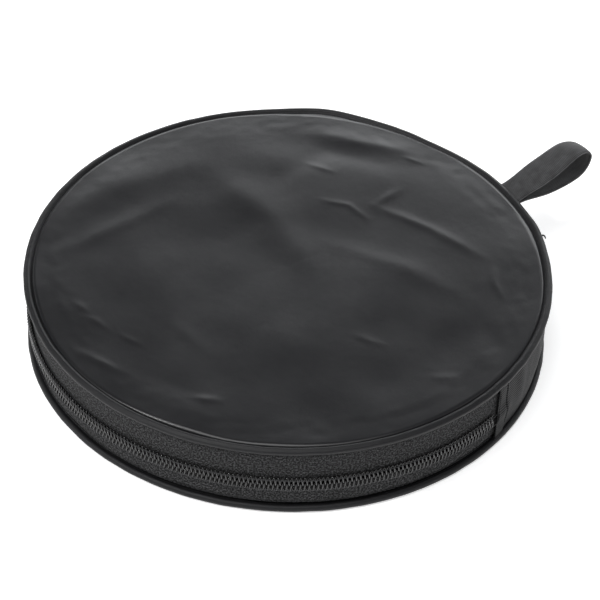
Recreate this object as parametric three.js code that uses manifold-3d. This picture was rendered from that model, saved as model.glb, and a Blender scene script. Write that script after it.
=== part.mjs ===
// A collapsible photographic reflector stowed in its round zipped case.
//
// The case is two round fabric panels joined by a wall. A coil zipper runs round the front of the wall, a
// plain fabric band closes its back, and a cord piping finishes both seams. A webbing loop is sewn into the
// top seam at the back. Inside lies the reflector: a sprung steel hoop folded into three turns, with its
// binding and its two faces.
//
// Millimetres, +Z up. The origin is the middle of the bottom panel's underside. The webbing loop is at +Y
// and the middle of the zipper at -Y. Angles are in degrees, counter-clockwise from +X.

import * as THREE from "three";
import { mergeVertices } from "three/addons/utils/BufferGeometryUtils.js";
import Module from "manifold-3d";

const wasm = await Module();
wasm.setup();

// ---------------------------------------------------------------- driving dimensions

const GAP = 0.3; // clearance between neighbouring pieces
const CASE_HEIGHT = 37.8;
const RING_SEGMENTS = 48;
const FAR = 400; // reaches past the whole object
const BACK = 90; // angle of the webbing loop

const PANEL = { radius: 115.9, thickness: 0.8, topLow: 36.5 };
const PIPING = { ringRadius: 118, radius: 1.7, strip: 0.4, cordRadius: 1, legInner: 113 };
const PIPING_LEGS = { low: 34.7, slitLow: 35, slitHigh: 35.2, high: 35.5 }; // the strip's two sewn-in edges
const BINDING = { inner: 112.2, outer: 115.2, thickness: 0.4, low: 33.2, high: 36.2 };
const WALL = { inner: 116.2, outer: 116.8, allowance: 0.5, allowanceInner: 113, low: 3.4, high: 34.4 };

const ZIP_END = 67.2; // the teeth end this far each way from the webbing loop
const TAPE_END = 64.4; // the zipper's tape runs on under the band's folded end
const BAND_END = 64.1; // the band's own wall starts here
const FOLDED_END = { inner: 117.1, outer: 117.9, sewn: 63.4 };
const COIL = { middle: 16.5, halfGap: 0.5, width: 3.6, inner: 117.1, outer: 118.8, bevel: 0.7 };
const JOINT_ANGLE = 69; // where the ends of the bottom piping and binding meet

const FOLD_Y = 22; // the front of the top folds open along this line
const FOLD_GAP = 0.4;

const SLIDER = { length: 13, height: 12, plate: 1.2, taper: 1.6, parked: 70.9 };
const CROWN = { halfLength: 4.4, halfEye: 3, halfWidth: 1.5, eyeHeight: 3, height: 4 };
const PULL = { length: 27, width: 8, neck: 7.4, thickness: 1.4, barRadius: 0.7, offset: 1.6 };

const STRAP = { width: 17, thickness: 1.2, rootInner: 115.5, rootOuter: 120.6, rootTop: 34.1 };
const LOOP = { foldY: 122.2, foldZ: 32.9, rise: 16 };

const HOOP = { turns: 3, radius: 99.2, swayRadial: 4.6, swayAxial: 7.5, stepsPerTurn: 36 };
const STEEL = { width: 3.6, thickness: 0.9, endGap: 0.6 };
const FERRULE = { length: 12, clearance: 0.35, wall: 0.35, slit: 0.4 };
const SLEEVE = { height: 7, depth: 4.4, wall: 0.7, mouth: 1.6, endGap: 0.6 };
const REFLECTOR_BASE = 1.2; // height of the reflector's lowest point
const FACE = { radius: 90.5, thickness: 5.2, rim: 3, edge: 3.2 };

// ---------------------------------------------------------------- materials

const panelFabric = new THREE.MeshStandardMaterial({ color: 0x2c2c2e, roughness: 0.45, metalness: 0 });
const bandFabric = new THREE.MeshStandardMaterial({ color: 0x262628, roughness: 0.6, metalness: 0 });
const tapeBlack = new THREE.MeshStandardMaterial({ color: 0x1c1c1d, roughness: 0.9, metalness: 0 });
const pipingBlack = new THREE.MeshStandardMaterial({ color: 0x343436, roughness: 0.4, metalness: 0 });
const cordPlastic = new THREE.MeshStandardMaterial({ color: 0x202020, roughness: 0.7, metalness: 0 });
const coilBlack = new THREE.MeshStandardMaterial({ color: 0x141414, roughness: 0.35, metalness: 0 });
const webbingBlack = new THREE.MeshStandardMaterial({ color: 0x2b2b2d, roughness: 0.8, metalness: 0 });
const sliderMetal = new THREE.MeshStandardMaterial({ color: 0x242426, roughness: 0.3, metalness: 0.9 });
const springSteel = new THREE.MeshStandardMaterial({ color: 0x8d9094, roughness: 0.3, metalness: 1 });
const silverFace = new THREE.MeshStandardMaterial({ color: 0xc4c6c8, roughness: 0.25, metalness: 0.8 });
const whiteFace = new THREE.MeshStandardMaterial({ color: 0xe8e8e4, roughness: 0.8, metalness: 0 });

// ---------------------------------------------------------------- solids and meshes

const radians = THREE.MathUtils.degToRad;

// A closed three.js geometry as a solid that can be cut and joined.
function solidOf(geometry) {
  const bare = geometry.clone();
  bare.deleteAttribute("normal");
  bare.deleteAttribute("uv");
  const merged = mergeVertices(bare, 1e-3);
  const vertProperties = merged.attributes.position.array;
  const triVerts = new Uint32Array(merged.index.array);
  return new wasm.Manifold(new wasm.Mesh({ numProp: 3, vertProperties, triVerts }));
}

function geometryOf(solid) {
  const { vertProperties, triVerts } = solid.getMesh();
  const geometry = new THREE.BufferGeometry();
  geometry.setAttribute("position", new THREE.BufferAttribute(vertProperties, 3));
  geometry.setIndex(new THREE.BufferAttribute(triVerts, 1));
  geometry.computeVertexNormals();
  return geometry;
}

function piece(name, shape, material) {
  const geometry = shape.isBufferGeometry ? shape : geometryOf(shape);
  const mesh = new THREE.Mesh(geometry, material);
  mesh.name = name;
  return mesh;
}

// A ring about Z from a closed outline of [radius, height] points, counter-clockwise.
function ring(outline) {
  const points = [...outline, outline[0]].map(([r, z]) => new THREE.Vector2(r, z));
  return solidOf(new THREE.LatheGeometry(points, RING_SEGMENTS).rotateX(Math.PI / 2));
}

function flatRing(inner, outer, low, high) {
  return ring([[inner, low], [outer, low], [outer, high], [inner, high]]);
}

function box(x0, x1, y0, y1, z0, z1) {
  const geometry = new THREE.BoxGeometry(x1 - x0, y1 - y0, z1 - z0);
  return solidOf(geometry.translate((x0 + x1) / 2, (y0 + y1) / 2, (z0 + z1) / 2));
}

// Points along a circle from one angle to another, both included.
function circlePoints([r, z], radius, from, to, steps) {
  return Array.from({ length: steps + 1 }, (_, i) => {
    const a = radians(from + ((to - from) * i) / steps);
    return [r + radius * Math.cos(a), z + radius * Math.sin(a)];
  });
}

// The seams at the top and the bottom of the case mirror each other.
function mirrored(outline) {
  return outline.map(([r, z]) => [r, CASE_HEIGHT - z]).reverse();
}

// A prism over the sector between two angles, to cut rings into arcs.
function sector(from, to) {
  const shape = new THREE.Shape();
  shape.lineTo(FAR * Math.cos(radians(from)), FAR * Math.sin(radians(from)));
  shape.absarc(0, 0, FAR, radians(from), radians(to), false);
  const geometry = new THREE.ExtrudeGeometry(shape, { depth: FAR, bevelEnabled: false });
  return solidOf(geometry.translate(0, 0, -FAR / 2));
}

function arc(solid, from, to) {
  return solid.intersect(sector(from, to));
}

// What lies in front of the fold line turns with the flap; the rest stays on the case.
function flapPart(solid) {
  return solid.intersect(box(-FAR, FAR, -FAR, FOLD_Y - FOLD_GAP / 2, -FAR, FAR));
}

function fixedPart(solid) {
  return solid.intersect(box(-FAR, FAR, FOLD_Y + FOLD_GAP / 2, FAR, -FAR, FAR));
}

// ---------------------------------------------------------------- panels and seams

function panel(low) {
  const geometry = new THREE.CylinderGeometry(PANEL.radius, PANEL.radius, PANEL.thickness, RING_SEGMENTS);
  return solidOf(geometry.rotateX(Math.PI / 2).translate(0, 0, low + PANEL.thickness / 2));
}

const pipingCentre = [PIPING.ringRadius, CASE_HEIGHT - PIPING.radius];

// The piping's cover is a strip wrapped round the cord, with both its edges sewn into the seam.
function pipingCoverOutline() {
  const [, centreZ] = pipingCentre;
  const legs = PIPING_LEGS;
  const angleOn = (radius, height) => THREE.MathUtils.radToDeg(Math.asin((height - centreZ) / radius));
  const outer = PIPING.radius;
  const bore = PIPING.radius - PIPING.strip;
  const outside = [180 - angleOn(outer, legs.low), 540 - angleOn(outer, legs.high)];
  const inside = [540 - angleOn(bore, legs.slitHigh), 180 - angleOn(bore, legs.slitLow)];
  return [
    [PIPING.legInner, legs.low],
    ...circlePoints(pipingCentre, outer, ...outside, 8),
    [PIPING.legInner, legs.high],
    [PIPING.legInner, legs.slitHigh],
    ...circlePoints(pipingCentre, bore, ...inside, 6),
    [PIPING.legInner, legs.slitLow],
  ];
}

const cordOutline = circlePoints(pipingCentre, PIPING.cordRadius, 0, 300, 5);

// The binding tape is a U round the seam's raw edges, open outwards.
const bindingOutline = [
  [BINDING.inner, BINDING.low],
  [BINDING.outer, BINDING.low],
  [BINDING.outer, BINDING.low + BINDING.thickness],
  [BINDING.inner + BINDING.thickness, BINDING.low + BINDING.thickness],
  [BINDING.inner + BINDING.thickness, BINDING.high - BINDING.thickness],
  [BINDING.outer, BINDING.high - BINDING.thickness],
  [BINDING.outer, BINDING.high],
  [BINDING.inner, BINDING.high],
];

function bottomOfCase() {
  const group = new THREE.Group();
  const joint = sector(JOINT_ANGLE, JOINT_ANGLE + 0.5);
  const seam = (outline) => ring(mirrored(outline)).subtract(joint);
  group.add(piece("bottom_panel", panel(0), panelFabric));
  group.add(piece("bottom_piping_cover", seam(pipingCoverOutline()), pipingBlack));
  group.add(piece("bottom_piping_cord", seam(cordOutline), cordPlastic));
  group.add(piece("bottom_seam_binding", seam(bindingOutline), tapeBlack));
  return group;
}

// The top is in two parts, which meet at the fold line.
function topOfCase(take, place) {
  const group = new THREE.Group();
  group.add(piece("top_panel_" + place, take(panel(PANEL.topLow)), panelFabric));
  group.add(piece("top_piping_cover_" + place, take(ring(pipingCoverOutline())), pipingBlack));
  group.add(piece("top_piping_cord_" + place, take(ring(cordOutline)), cordPlastic));
  group.add(piece("top_seam_binding_" + place, take(ring(bindingOutline)), tapeBlack));
  return group;
}

// ---------------------------------------------------------------- the wall

// The upper edge of the wall turns inwards as a seam allowance.
function wallTo(low) {
  const { inner, outer, allowance, allowanceInner, high } = WALL;
  return [
    [inner, low],
    [outer, low],
    [outer, high],
    [allowanceInner, high],
    [allowanceInner, high - allowance],
    [inner, high - allowance],
  ];
}

// The band's two edges both turn inwards. Its ends are folded over the ends of the zipper.
function backBand() {
  const middle = CASE_HEIGHT / 2;
  const wall = ring(wallTo(middle)).add(ring(mirrored(wallTo(middle))));
  const foldedEnd = flatRing(FOLDED_END.inner, FOLDED_END.outer, WALL.low, WALL.high);
  const sewnEnd = flatRing(WALL.inner, FOLDED_END.outer, WALL.low, WALL.high);
  const strapThickness = STRAP.thickness * 2;
  const halfSlot = STRAP.width / 2 + GAP;
  const strapSlot = box(-halfSlot, halfSlot, 0, FAR, STRAP.rootTop - strapThickness - GAP, FAR);
  let band = arc(wall, BACK - BAND_END, BACK + BAND_END);
  for (const side of [-1, 1]) {
    const between = (a, b) => [BACK + side * a, BACK + side * b].sort((p, q) => p - q);
    band = band.add(arc(foldedEnd, ...between(FOLDED_END.sewn, ZIP_END)));
    band = band.add(arc(sewnEnd, ...between(FOLDED_END.sewn, BAND_END)));
  }
  return band.subtract(strapSlot);
}

// ---------------------------------------------------------------- the zipper

const upperEdge = COIL.middle + COIL.halfGap;
const lowerEdge = COIL.middle - COIL.halfGap;
const coilEnd = ZIP_END + 0.2;

// One side's row of teeth is a ridge, bevelled where each tooth bends over.
function coilRidge(low) {
  const { inner, outer, bevel, width } = COIL;
  const high = low + width;
  return ring([
    [inner, low],
    [outer - bevel, low],
    [outer, low + bevel],
    [outer, high - bevel],
    [outer - bevel, high],
    [inner, high],
  ]);
}

function lowerZip() {
  const group = new THREE.Group();
  const tape = ring(mirrored(wallTo(CASE_HEIGHT - lowerEdge)));
  const coil = coilRidge(lowerEdge - COIL.width);
  const span = (end) => [BACK + end, BACK - end + 360];
  group.add(piece("lower_zip_tape", arc(tape, ...span(TAPE_END)), tapeBlack));
  group.add(piece("lower_zip_coil", arc(coil, ...span(coilEnd)), coilBlack));
  return group;
}

// The upper side opens with the flap, except for a short stretch behind the fold line at each end.
function upperZip() {
  const group = new THREE.Group();
  const tape = ring(wallTo(upperEdge));
  const coil = coilRidge(upperEdge);
  group.add(piece("upper_zip_tape", flapPart(tape), tapeBlack));
  group.add(piece("upper_zip_coil", flapPart(coil), coilBlack));
  const right = (solid, end) => arc(fixedPart(solid), 0, BACK - end);
  const left = (solid, end) => arc(fixedPart(solid), BACK + end, 180);
  group.add(piece("upper_zip_tape_right_end", right(tape, TAPE_END), tapeBlack));
  group.add(piece("upper_zip_coil_right_end", right(coil, coilEnd), coilBlack));
  group.add(piece("upper_zip_tape_left_end", left(tape, TAPE_END), tapeBlack));
  group.add(piece("upper_zip_coil_left_end", left(coil, coilEnd), coilBlack));
  return group;
}

// The slider and its pull are drawn with +Y out of the wall and X along it, then turned to their place.
const sliderLow = COIL.middle - SLIDER.height / 2;
const sliderHigh = COIL.middle + SLIDER.height / 2;
const plateInner = COIL.outer + GAP;
const plateOuter = plateInner + SLIDER.plate;
const pullAxis = plateOuter + PULL.offset;

// An outline in X and Z with a thickness from one Y to another.
function slab(points, inner, outer) {
  const shape = new THREE.Shape(points.map(([x, z]) => new THREE.Vector2(x, z)));
  const geometry = new THREE.ExtrudeGeometry(shape, { depth: outer - inner, bevelEnabled: false });
  return solidOf(geometry.rotateX(Math.PI / 2).translate(0, outer, 0));
}

function sliderBody() {
  const half = SLIDER.length / 2;
  const { taper } = SLIDER;
  const outline = [
    [half, sliderLow],
    [half, sliderHigh],
    [taper - half, sliderHigh],
    [-half, sliderHigh - taper],
    [-half, sliderLow + taper],
    [taper - half, sliderLow],
  ];
  const backPlateOuter = WALL.inner - 1.2;
  const flangeInner = WALL.outer + 0.5;
  const flange = SLIDER.height / 2 - COIL.halfGap - COIL.width - GAP;
  const postHalf = COIL.halfGap - GAP;
  return slab(outline, plateInner, plateOuter)
    .add(slab(outline, backPlateOuter - SLIDER.plate, backPlateOuter))
    .add(box(taper - half, half, flangeInner, plateOuter, sliderHigh - flange, sliderHigh))
    .add(box(taper - half, half, flangeInner, plateOuter, sliderLow, sliderLow + flange))
    .add(box(half - 5, half, backPlateOuter, plateInner, COIL.middle - postHalf, COIL.middle + postHalf));
}

// The crown is the arch on the slider that the pull hangs from.
function sliderCrown() {
  const { halfLength, halfEye, halfWidth, eyeHeight, height } = CROWN;
  const low = COIL.middle - halfWidth;
  const high = COIL.middle + halfWidth;
  const arch = box(-halfLength, halfLength, plateOuter + GAP, plateOuter + height, low, high);
  return arch.subtract(box(-halfEye, halfEye, 0, plateOuter + eyeHeight, -FAR, FAR));
}

// The pull has a bar through the crown's eye, two arms past the crown and a grip with a slot.
function pullTab() {
  const { length, width, neck, thickness, barRadius } = PULL;
  const inner = pullAxis - thickness / 2;
  const outer = pullAxis + thickness / 2;
  const corner = 2;
  const outline = [
    [0, -neck / 2],
    [0, neck / 2],
    [corner - length, width / 2],
    [-length, width / 2 - corner],
    [-length, corner - width / 2],
    [corner - length, -width / 2],
  ];
  const grip = slab(outline, inner, outer).translate(0, 0, COIL.middle);
  const slot = (x0, x1, half) => box(x0, x1, 0, FAR, COIL.middle - half, COIL.middle + half);
  const bar = new THREE.CylinderGeometry(barRadius, barRadius, neck, 10);
  const crossBar = solidOf(bar.rotateX(Math.PI / 2).translate(0, pullAxis, COIL.middle));
  const crownSlot = slot(-CROWN.halfLength - 1.8, 1, CROWN.halfWidth + 0.5);
  const gripSlot = slot(4 - length, 12 - length, 1.4);
  return grip.subtract(crownSlot).subtract(gripSlot).add(crossBar);
}

function slider() {
  const group = new THREE.Group();
  group.add(piece("slider_body", sliderBody(), sliderMetal));
  group.add(piece("slider_crown", sliderCrown(), sliderMetal));
  group.add(piece("pull_tab", pullTab(), sliderMetal));
  group.rotation.z = radians(SLIDER.parked);
  return group;
}

// ---------------------------------------------------------------- the webbing loop

// Half of the loop's middle line, from the case to the tip: [distance out, height over the middle].
const LOOP_LINE = [[0.2, 0.8], [12, 1.6], [24, 4.2], [35, 5.8], [43, 4.1], [45.4, 0]];

function strapLoop() {
  const upper = LOOP_LINE.map(([y, z]) => new THREE.Vector2(y, z));
  const lower = LOOP_LINE.slice(0, -1).map(([y, z]) => new THREE.Vector2(y, -z)).reverse();
  const line = new THREE.SplineCurve([...upper, ...lower]);
  const steps = 30;
  const side = (offset) => Array.from({ length: steps + 1 }, (_, i) => {
    const along = line.getTangent(i / steps);
    return line.getPoint(i / steps).add(new THREE.Vector2(-along.y, along.x).multiplyScalar(offset));
  });
  const half = STRAP.thickness / 2;
  const outline = new THREE.Shape([...side(half), ...side(-half).reverse()]);
  const geometry = new THREE.ExtrudeGeometry(outline, { depth: STRAP.width, bevelEnabled: false });
  geometry.translate(0, 0, -STRAP.width / 2);
  return geometry.rotateY(Math.PI / 2).rotateX(Math.PI / 2); // outwards along Y, width along X
}

function strap() {
  const group = new THREE.Group();
  const half = STRAP.width / 2;
  const { rootInner, rootOuter, rootTop, thickness } = STRAP;
  const root = box(-half, half, rootInner, rootOuter, rootTop - 2 * thickness, rootTop);
  group.add(piece("strap_root", root, webbingBlack));

  const loop = piece("strap_loop", strapLoop(), webbingBlack);
  loop.position.set(0, LOOP.foldY, LOOP.foldZ);
  loop.rotation.x = radians(LOOP.rise);
  group.add(loop);
  return group;
}

// ---------------------------------------------------------------- the folded reflector

const hoopLength = 2 * Math.PI * HOOP.radius * HOOP.turns;

// Sweeps an outline of [outwards, up] points along the hoop between two lengths, in millimetres. The hoop
// makes three turns, and meanwhile sways once in and out and up and down, so that it closes on itself
// without touching.
function alongHoop(outline, from, to) {
  const shape = new THREE.Shape(outline.map(([outwards, up]) => new THREE.Vector2(outwards, up)));
  const turns = (to - from) / hoopLength;
  const steps = Math.max(2, Math.round(turns * HOOP.turns * HOOP.stepsPerTurn));
  const geometry = new THREE.ExtrudeGeometry(shape, { depth: to - from, steps, bevelEnabled: false });
  const { position } = geometry.attributes;
  for (let i = 0; i < position.count; i++) {
    const sway = (2 * Math.PI * (from + position.getZ(i))) / hoopLength;
    const angle = -HOOP.turns * sway;
    const radius = HOOP.radius + HOOP.swayRadial * Math.cos(sway) + position.getX(i);
    const height = HOOP.swayAxial * Math.sin(sway) + position.getY(i);
    position.setXYZ(i, radius * Math.cos(angle), radius * Math.sin(angle), height);
  }
  return geometry;
}

function steelBand() {
  const t = STEEL.thickness / 2;
  const w = STEEL.width / 2;
  return alongHoop([[-t, -w], [t, -w], [t, w], [-t, w]], STEEL.endGap, hoopLength - STEEL.endGap);
}

// A box section with a wall, open inwards by a slit.
function channel(halfDepth, halfHeight, wall, halfSlit) {
  const d = halfDepth - wall;
  const h = halfHeight - wall;
  return [
    [-halfDepth, -halfHeight],
    [halfDepth, -halfHeight],
    [halfDepth, halfHeight],
    [-halfDepth, halfHeight],
    [-halfDepth, halfSlit],
    [-d, halfSlit],
    [-d, h],
    [d, h],
    [d, -h],
    [-d, -h],
    [-d, -halfSlit],
    [-halfDepth, -halfSlit],
  ];
}

// A crimped tube over the steel band's two ends.
function ferrule() {
  const { length, clearance, wall, slit } = FERRULE;
  const depth = STEEL.thickness / 2 + clearance + wall;
  const height = STEEL.width / 2 + GAP + wall;
  return alongHoop(channel(depth, height, wall, slit / 2), -length / 2, length / 2);
}

// The binding is a fabric channel round the steel, with the two faces sewn into its mouth.
function sleeve() {
  const { depth, height, wall, mouth, endGap } = SLEEVE;
  return alongHoop(channel(depth / 2, height / 2, wall, mouth / 2), endGap, hoopLength - endGap);
}

// The two faces, gathered inside the turns as flat pads with a softened rim.
function facePad(low) {
  const { radius, thickness, rim, edge } = FACE;
  const high = low + thickness;
  const bevel = (thickness - edge) / 2;
  const outline = [
    [0, low],
    [radius - rim, low],
    [radius, low + bevel],
    [radius, high - bevel],
    [radius - rim, high],
    [0, high],
  ];
  const points = outline.map(([r, z]) => new THREE.Vector2(r, z));
  return new THREE.LatheGeometry(points, 48).rotateX(Math.PI / 2);
}

function reflector() {
  const group = new THREE.Group();
  group.add(piece("hoop_steel_band", steelBand(), springSteel));
  group.add(piece("hoop_ferrule", ferrule(), sliderMetal));
  group.add(piece("hoop_binding", sleeve(), tapeBlack));
  group.add(piece("reflector_face_silver", facePad(GAP / 2), silverFace));
  group.add(piece("reflector_face_white", facePad(-FACE.thickness - GAP / 2), whiteFace));
  group.position.z = REFLECTOR_BASE + HOOP.swayAxial + SLEEVE.height / 2;
  return group;
}

// ---------------------------------------------------------------- the whole object

const object = new THREE.Group();
object.add(
  bottomOfCase(),
  piece("back_band", backBand(), bandFabric),
  lowerZip(),
  upperZip(),
  topOfCase(fixedPart, "back"),
  topOfCase(flapPart, "front"),
  slider(),
  strap(),
  reflector(),
);

export default object;
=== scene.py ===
"""A collapsible photographic reflector stowed in its round zipped case.

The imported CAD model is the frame. Each fabric piece, the zipper's two coils, the stitching and the folded
reflector are built here as meshes around it, and everything gets a procedural material.

Lengths are in millimetres until a mesh is made, and angles are in degrees, counter-clockwise from +X.
"""

import math

import bpy
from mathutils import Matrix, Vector, noise


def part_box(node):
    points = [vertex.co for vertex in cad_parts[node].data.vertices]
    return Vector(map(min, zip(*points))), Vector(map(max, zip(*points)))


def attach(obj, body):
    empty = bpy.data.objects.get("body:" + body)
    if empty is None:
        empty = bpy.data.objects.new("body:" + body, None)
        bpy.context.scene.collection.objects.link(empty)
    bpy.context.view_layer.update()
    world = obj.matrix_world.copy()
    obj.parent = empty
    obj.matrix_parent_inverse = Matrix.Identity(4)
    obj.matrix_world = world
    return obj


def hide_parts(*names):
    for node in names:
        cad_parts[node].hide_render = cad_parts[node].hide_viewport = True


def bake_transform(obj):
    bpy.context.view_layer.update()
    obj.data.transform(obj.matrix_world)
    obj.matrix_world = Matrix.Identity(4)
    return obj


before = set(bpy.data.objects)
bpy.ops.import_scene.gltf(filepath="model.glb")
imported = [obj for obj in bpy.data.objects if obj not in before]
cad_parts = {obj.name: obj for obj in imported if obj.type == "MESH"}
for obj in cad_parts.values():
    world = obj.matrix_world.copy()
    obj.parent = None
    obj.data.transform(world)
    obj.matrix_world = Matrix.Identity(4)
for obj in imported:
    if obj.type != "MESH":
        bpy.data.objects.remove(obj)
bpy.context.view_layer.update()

MM = 0.001
CLOTH_THICKNESS = 0.6  # of the panels, the band and the tapes


# ---------------------------------------------------------------- sizes, from the frame


def low(node):
    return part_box(node)[0] / MM


def high(node):
    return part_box(node)[1] / MM


CASE_HEIGHT = high("top_piping_cover_front").z
RIM = high("bottom_piping_cover").x
PIPING_RADIUS = (high("bottom_piping_cover").z - low("bottom_piping_cover").z) / 2
PIPING_RING = RIM - PIPING_RADIUS
CORD_RADIUS = (high("bottom_piping_cord").z - low("bottom_piping_cord").z) / 2
PANEL_TOP = high("top_panel_back").z
PANEL_RADIUS = high("bottom_panel").x
WALL_OUTER = high("lower_zip_tape").x
WALL_LOW = low("back_band").z
WALL_HIGH = high("back_band").z
ZIP_MIDDLE = (high("lower_zip_coil").z + low("upper_zip_coil").z) / 2
COIL_OUTER = high("lower_zip_coil").x
COIL_REACH = high("upper_zip_coil").z - ZIP_MIDDLE
BINDING_LOW = low("top_seam_binding_front").z
BINDING_HIGH = high("top_seam_binding_front").z
BINDING_OUTER = high("bottom_seam_binding").x
STRAP_HALF = high("strap_loop").x
REFLECTOR_MIDDLE = (high("hoop_binding").z + low("hoop_binding").z) / 2
SLEEVE_HALF_HEIGHT = 3.4
SWAY_AXIAL = high("hoop_binding").z - REFLECTOR_MIDDLE - SLEEVE_HALF_HEIGHT - 0.1

STRAP_ANGLE = 90
ZIP_END = 67.2  # the zipper's teeth stop this far each way from the strap
BAND_TURN = 64.1  # the band's own wall starts here, and its folded end lies between the two

# ---------------------------------------------------------------- camera, lights and floor

TARGET = Vector((0, 0, 18.9)) * MM  # the middle of the case, which the camera looks at


def camera():
    """Stands where the photograph was taken, with its framing."""
    azimuth, elevation, roll = (math.radians(a) for a in (60.3, 41.06, 2.07))
    distance = 1.1448
    back = Vector((
        math.sin(azimuth) * math.cos(elevation),
        -math.cos(azimuth) * math.cos(elevation),
        math.sin(elevation),
    ))
    data = bpy.data.cameras.new("camera")
    data.lens = 150
    data.sensor_width = 36
    data.shift_x = 0.02108
    data.shift_y = -0.0045
    obj = bpy.data.objects.new("camera", data)
    bpy.context.scene.collection.objects.link(obj)
    aimed = (-back).to_track_quat("-Z", "Y").to_matrix().to_4x4()
    obj.matrix_world = aimed @ aimed.Rotation(roll, 4, "Z")
    obj.location = TARGET + back * distance
    bpy.context.scene.camera = obj


def area_light(name, place, size, watts, colour=(1, 1, 1)):
    """A soft light aimed at the case. place and size are in metres."""
    data = bpy.data.lights.new(name, "AREA")
    data.shape = "RECTANGLE"
    data.size, data.size_y = size
    data.energy = watts
    data.color = colour
    obj = bpy.data.objects.new(name, data)
    bpy.context.scene.collection.objects.link(obj)
    obj.location = place
    aim = Vector((0, 0, 30)) * MM
    obj.rotation_euler = (aim - obj.location).to_track_quat("-Z", "Y").to_euler()
    obj.visible_camera = False


def lights():
    """A large light above, a small one for the teeth, a low card for the panel's sheen, and a side card."""
    world = bpy.data.worlds.new("studio")
    bpy.context.scene.world = world
    world.use_nodes = True
    background = world.node_tree.nodes["Background"]
    background.inputs["Color"].default_value = (0.94, 0.96, 1, 1)
    background.inputs["Strength"].default_value = 0.13
    area_light("key", (0.4, -0.5, 1.9), (1.6, 1.6), 27)
    area_light("sparkle", (-0.1, -1.15, 1.25), (0.1, 0.1), 9)
    area_light("back_card", (-0.82, 0.78, 0.46), (1.45, 0.42), 6.0, (0.96, 0.98, 1))
    area_light("side_card", (0.9, 1.2, 0.9), (0.8, 0.8), 1.1)


def floor(material):
    """A square floor, and a low round backdrop that curves up from it behind the object on every side."""
    half = 4000
    count = 8
    level = -0.05
    points = [
        (x * half / count, y * half / count, level)
        for y in range(-count, count + 1)
        for x in range(-count, count + 1)
    ]
    ground = mesh_object("floor", points, grid_faces(2 * count + 1, 2 * count + 1), material)
    spokes = 48
    rising = ((3500, -1), (3600, 60), (3680, 200), (3700, 900))
    wall = [
        outwards(360 * k / spokes) * radius + Vector((0, 0, height))
        for radius, height in rising
        for k in range(spokes)
    ]
    backdrop = mesh_object("backdrop", wall, grid_faces(4, spokes, wrap_columns=True), material)


# ---------------------------------------------------------------- materials


class Shader:
    """A material with one Principled shader, and short ways to add nodes to it."""

    def __init__(self, name, roughness, **constants):
        self.material = bpy.data.materials.new(name)
        self.material.use_nodes = True
        self.tree = self.material.node_tree
        self.surface = self.tree.nodes["Principled BSDF"]
        self.surface.inputs["Roughness"].default_value = roughness
        for key, value in constants.items():
            self.surface.inputs[key.replace("_", " ")].default_value = value

    def node(self, kind, inputs=None, **settings):
        made = self.tree.nodes.new("ShaderNode" + kind)
        for key, value in settings.items():
            setattr(made, key, value)
        for key, value in (inputs or {}).items():
            self.feed(made.inputs[key], value)
        return made

    def feed(self, socket, value):
        if isinstance(value, bpy.types.NodeSocket):
            self.tree.links.new(value, socket)
        else:
            socket.default_value = value

    def math(self, operation, *values):
        made = self.node("Math", operation=operation)
        for socket, value in zip(made.inputs, values):
            self.feed(socket, value)
        return made.outputs[0]

    def cloth(self):
        """Where a point lies on the flat cloth: along it, across it, in metres."""
        return self.node("Attribute", attribute_name="cloth").outputs["Vector"]

    def place(self):
        return self.node("TexCoord").outputs["Object"]

    def threads(self, vector, along, across):
        """A sine wave over the cloth, with along and across waves to the millimetre."""
        turns = 2 * math.pi / MM
        direction = (along * turns, across * turns, 0)
        dot = self.node("VectorMath", {0: vector, 1: direction}, operation="DOT_PRODUCT")
        return self.math("SINE", dot.outputs["Value"])

    def ribs(self, vector, along, across):
        """The same wave from 0 to 1."""
        return self.share(self.threads(vector, along, across), -1, 1)

    def noise(self, vector, size, detail=3.0, rough=0.5):
        """Soft noise with features about size millimetres across."""
        inputs = {"Vector": vector, "Scale": 1 / (size * MM), "Detail": detail, "Roughness": rough}
        return self.node("TexNoise", inputs).outputs["Fac"]

    def share(self, value, low, high):
        """0 where the value is low or less, 1 where it is high or more."""
        return self.node("MapRange", {0: value, 1: low, 2: high, 3: 0, 4: 1}).outputs[0]

    def colours(self, value, dark, light):
        """Base colour from dark at 0 to light at 1. A Mix node takes its colours in 6 and 7 and gives 2."""
        mix = self.node("Mix", {0: value}, data_type="RGBA")
        self.feed(mix.inputs[6], (*dark, 1))
        self.feed(mix.inputs[7], (*light, 1))
        self.feed(self.surface.inputs["Base Color"], mix.outputs[2])

    def rough(self, value, lowest, highest):
        """Roughness from lowest at 0 to highest at 1."""
        level = self.node("MapRange", {0: value, 1: 0, 2: 1, 3: lowest, 4: highest}).outputs[0]
        self.feed(self.surface.inputs["Roughness"], level)

    def bumps(self, *layers):
        """Each layer is a height from 0 to 1 and its depth in millimetres."""
        normal = None
        for height, depth in layers:
            inputs = {"Height": height, "Distance": depth * MM, "Strength": 1.0}
            if normal is not None:
                inputs["Normal"] = normal
            normal = self.node("Bump", inputs).outputs["Normal"]
        self.feed(self.surface.inputs["Normal"], normal)


def plain_weave(shader, vector, thread):
    """Threads that pass over and under each other, from 0 to 1."""
    along = shader.threads(vector, 0.5 / thread, 0)
    across = shader.threads(vector, 0, 0.5 / thread)
    return shader.share(shader.math("MULTIPLY", along, across), -1, 1)


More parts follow.
